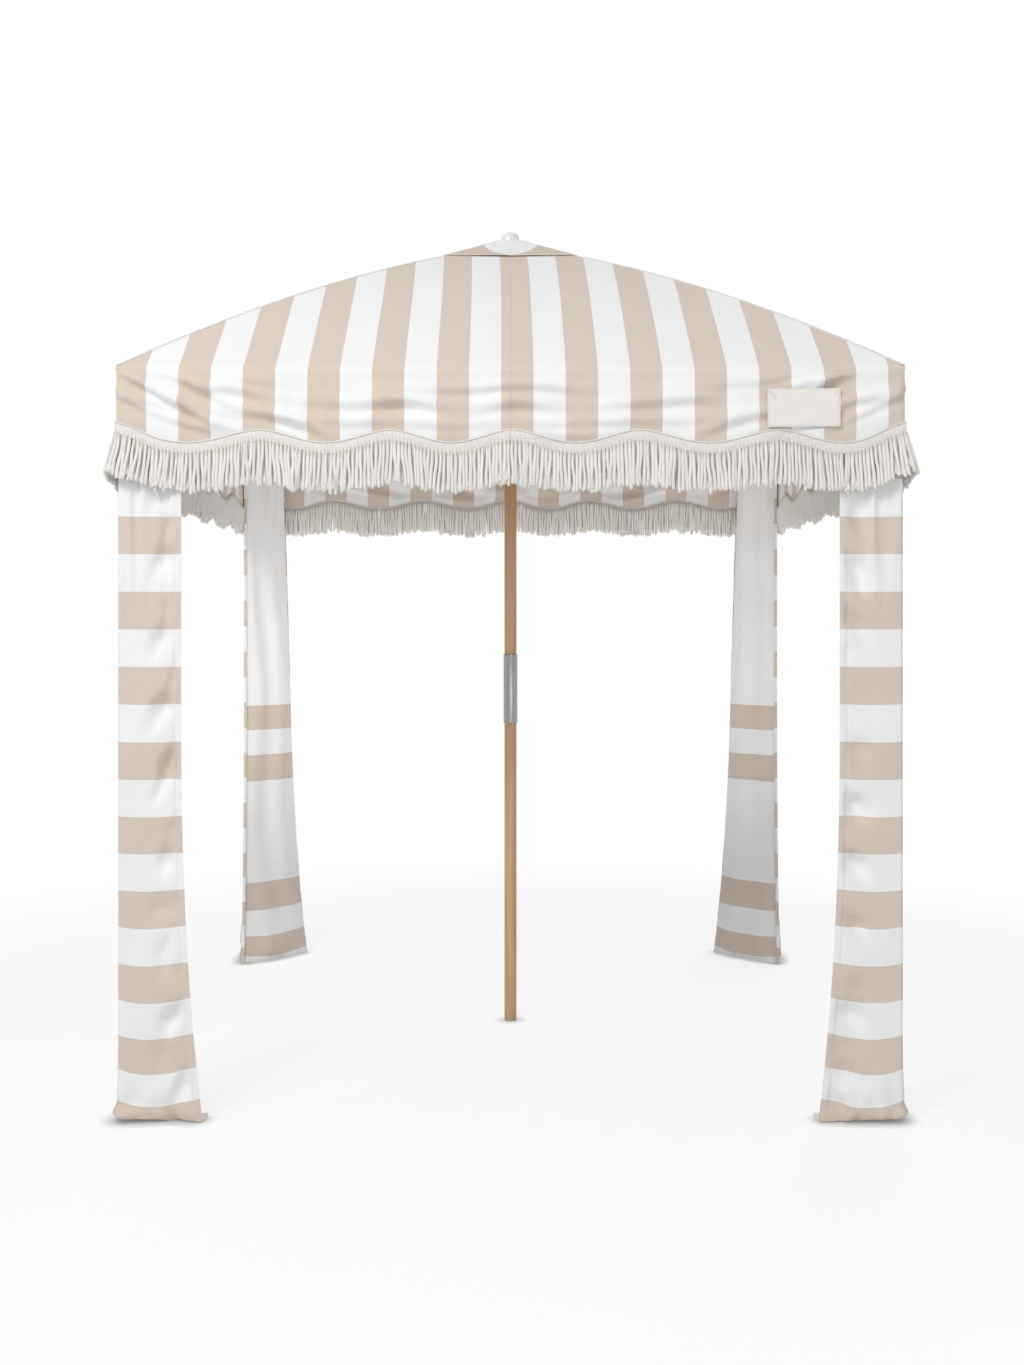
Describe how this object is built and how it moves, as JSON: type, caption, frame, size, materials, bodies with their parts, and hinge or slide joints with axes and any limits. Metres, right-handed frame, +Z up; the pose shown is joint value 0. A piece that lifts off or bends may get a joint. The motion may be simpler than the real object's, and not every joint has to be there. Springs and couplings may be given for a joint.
{
  "type": "beach tent",
  "caption": "Square beach tent: striped pyramid canopy with a scalloped fringed valance and cloth legs, on a jointed wooden pole with a folding umbrella frame.",
  "frame": {"origin": "on the ground under the centre of the pole", "axes": "+Z up along the pole; the face with the label looks along -Y; +X to the right seen from the front"},
  "size_m": [1.8652, 1.8652, 2.2574],
  "materials": {
    "striped_cloth": "woven canvas, beige and white stripes",
    "white_cloth": "woven canvas, white",
    "cotton": "cotton braid and fringe, cream",
    "label_cloth": "woven patch, bare",
    "wood": "clear satin varnish",
    "steel": "brushed",
    "tube": "drawn tube, satin",
    "rivets": "zinc plated",
    "white_plastic": "moulded, smooth"
  },
  "bodies": {
    "base": {"lower_pole": "wood", "ferrule": "steel", "ferrule_pin": "steel"},
    "mast": {"upper_pole": "wood", "crown_hub": "white_plastic", "crown_patch": "white_cloth", "finial": "white_plastic", "catch_spring": "steel", "hub_pin_front_right": "rivets", "hub_pin_back_right": "rivets", "hub_pin_back_left": "rivets", "hub_pin_front_left": "rivets"},
    "runner": {"runner": "white_plastic"},
    "catch": {"catch_button": "steel"},
    "rib_front_right": {"rib_front_right": "tube", "rib_tip_front_right": "white_plastic", "strut_rivet_front_right": "rivets", "roof_front_right": "striped_cloth", "vent_cap_front_right": "striped_cloth"},
    "strut_front_right": {"strut_front_right": "tube"},
    "corner_front_right": {"corner_block_front_right": "white_plastic", "valance_front_right": "striped_cloth", "fringe_front_right": "cotton", "leg_outer_front_right": "striped_cloth", "leg_lining_front_right": "white_cloth", "label": "label_cloth"},
    "rib_back_right": {"rib_back_right": "tube", "rib_tip_back_right": "white_plastic", "strut_rivet_back_right": "rivets", "roof_back_right": "striped_cloth", "vent_cap_back_right": "striped_cloth"},
    "strut_back_right": {"strut_back_right": "tube"},
    "corner_back_right": {"corner_block_back_right": "white_plastic", "valance_back_right": "striped_cloth", "fringe_back_right": "cotton", "leg_outer_back_right": "striped_cloth", "leg_lining_back_right": "white_cloth"},
    "rib_back_left": {"rib_back_left": "tube", "rib_tip_back_left": "white_plastic", "strut_rivet_back_left": "rivets", "roof_back_left": "striped_cloth", "vent_cap_back_left": "striped_cloth"},
    "strut_back_left": {"strut_back_left": "tube"},
    "corner_back_left": {"corner_block_back_left": "white_plastic", "valance_back_left": "striped_cloth", "fringe_back_left": "cotton", "leg_outer_back_left": "striped_cloth", "leg_lining_back_left": "white_cloth"},
    "rib_front_left": {"rib_front_left": "tube", "rib_tip_front_left": "white_plastic", "strut_rivet_front_left": "rivets", "roof_front_left": "striped_cloth", "vent_cap_front_left": "striped_cloth"},
    "strut_front_left": {"strut_front_left": "tube"},
    "corner_front_left": {"corner_block_front_left": "white_plastic", "valance_front_left": "striped_cloth", "fringe_front_left": "cotton", "leg_outer_front_left": "striped_cloth", "leg_lining_front_left": "white_cloth"}
  },
  "joints": [
    {"name": "mast_lift", "type": "slide", "parent": "base", "child": "mast", "axis": [0, 0, 1], "range_m": [0, 0.09]},
    {"name": "rib_front_right_fold", "type": "hinge", "parent": "mast", "child": "rib_front_right", "pos_m": [0.02828, -0.02828, 2.18991], "axis": [0.7071, 0.7071, 0], "range_deg": [0, 58], "deforming": ["roof_front_right", "vent_cap_front_right"]},
    {"name": "runner_slide", "type": "slide", "parent": "mast", "child": "runner", "axis": [0, 0, -1], "range_m": [0, 0.642]},
    {"name": "catch_press", "type": "slide", "parent": "mast", "child": "catch", "axis": [0, 1, 0], "range_m": [0, 0.006], "stiffness_N_per_m": 600, "springref_m": -0.004, "deforming": ["catch_spring"]},
    {"name": "strut_front_right_swing", "type": "hinge", "parent": "rib_front_right", "child": "strut_front_right", "pos_m": [0.35355, -0.35355, 2.0429], "axis": [0.7071, 0.7071, 0], "range_deg": [-116, 0]},
    {"name": "corner_front_right_hang", "type": "hinge", "parent": "rib_front_right", "child": "corner_front_right", "pos_m": [0.8662, -0.8662, 1.73786], "axis": [0.7071, 0.7071, 0], "range_deg": [-58, 0], "deforming": ["valance_front_right", "fringe_front_right", "leg_outer_front_right", "leg_lining_front_right", "label"]},
    {"name": "rib_back_right_fold", "type": "hinge", "parent": "mast", "child": "rib_back_right", "pos_m": [0.02828, 0.02828, 2.18991], "axis": [-0.7071, 0.7071, 0], "range_deg": [0, 58], "deforming": ["roof_back_right", "vent_cap_back_right"]},
    {"name": "strut_back_right_swing", "type": "hinge", "parent": "rib_back_right", "child": "strut_back_right", "pos_m": [0.35355, 0.35355, 2.0429], "axis": [-0.7071, 0.7071, 0], "range_deg": [-116, 0]},
    {"name": "corner_back_right_hang", "type": "hinge", "parent": "rib_back_right", "child": "corner_back_right", "pos_m": [0.8662, 0.8662, 1.73786], "axis": [-0.7071, 0.7071, 0], "range_deg": [-58, 0], "deforming": ["valance_back_right", "fringe_back_right", "leg_outer_back_right", "leg_lining_back_right"]},
    {"name": "rib_back_left_fold", "type": "hinge", "parent": "mast", "child": "rib_back_left", "pos_m": [-0.02828, 0.02828, 2.18991], "axis": [-0.7071, -0.7071, 0], "range_deg": [0, 58], "deforming": ["roof_back_left", "vent_cap_back_left"]},
    {"name": "strut_back_left_swing", "type": "hinge", "parent": "rib_back_left", "child": "strut_back_left", "pos_m": [-0.35355, 0.35355, 2.0429], "axis": [-0.7071, -0.7071, 0], "range_deg": [-116, 0]},
    {"name": "corner_back_left_hang", "type": "hinge", "parent": "rib_back_left", "child": "corner_back_left", "pos_m": [-0.8662, 0.8662, 1.73786], "axis": [-0.7071, -0.7071, 0], "range_deg": [-58, 0], "deforming": ["valance_back_left", "fringe_back_left", "leg_outer_back_left", "leg_lining_back_left"]},
    {"name": "rib_front_left_fold", "type": "hinge", "parent": "mast", "child": "rib_front_left", "pos_m": [-0.02828, -0.02828, 2.18991], "axis": [0.7071, -0.7071, 0], "range_deg": [0, 58], "deforming": ["roof_front_left", "vent_cap_front_left"]},
    {"name": "strut_front_left_swing", "type": "hinge", "parent": "rib_front_left", "child": "strut_front_left", "pos_m": [-0.35355, -0.35355, 2.0429], "axis": [0.7071, -0.7071, 0], "range_deg": [-116, 0]},
    {"name": "corner_front_left_hang", "type": "hinge", "parent": "rib_front_left", "child": "corner_front_left", "pos_m": [-0.8662, -0.8662, 1.73786], "axis": [0.7071, -0.7071, 0], "range_deg": [-58, 0], "deforming": ["valance_front_left", "fringe_front_left", "leg_outer_front_left", "leg_lining_front_left"]}
  ],
  "couplings": [
    {"joint": "runner_slide", "follows": "rib_front_right_fold", "m_per_rad": 0.63419},
    {"joint": "strut_front_right_swing", "follows": "rib_front_right_fold", "ratio": -2},
    {"joint": "corner_front_right_hang", "follows": "rib_front_right_fold", "ratio": -1},
    {"joint": "rib_back_right_fold", "follows": "rib_front_right_fold", "ratio": 1},
    {"joint": "strut_back_right_swing", "follows": "rib_front_right_fold", "ratio": -2},
    {"joint": "corner_back_right_hang", "follows": "rib_front_right_fold", "ratio": -1},
    {"joint": "rib_back_left_fold", "follows": "rib_front_right_fold", "ratio": 1},
    {"joint": "strut_back_left_swing", "follows": "rib_front_right_fold", "ratio": -2},
    {"joint": "corner_back_left_hang", "follows": "rib_front_right_fold", "ratio": -1},
    {"joint": "rib_front_left_fold", "follows": "rib_front_right_fold", "ratio": 1},
    {"joint": "strut_front_left_swing", "follows": "rib_front_right_fold", "ratio": -2},
    {"joint": "corner_front_left_hang", "follows": "rib_front_right_fold", "ratio": -1}
  ]
}
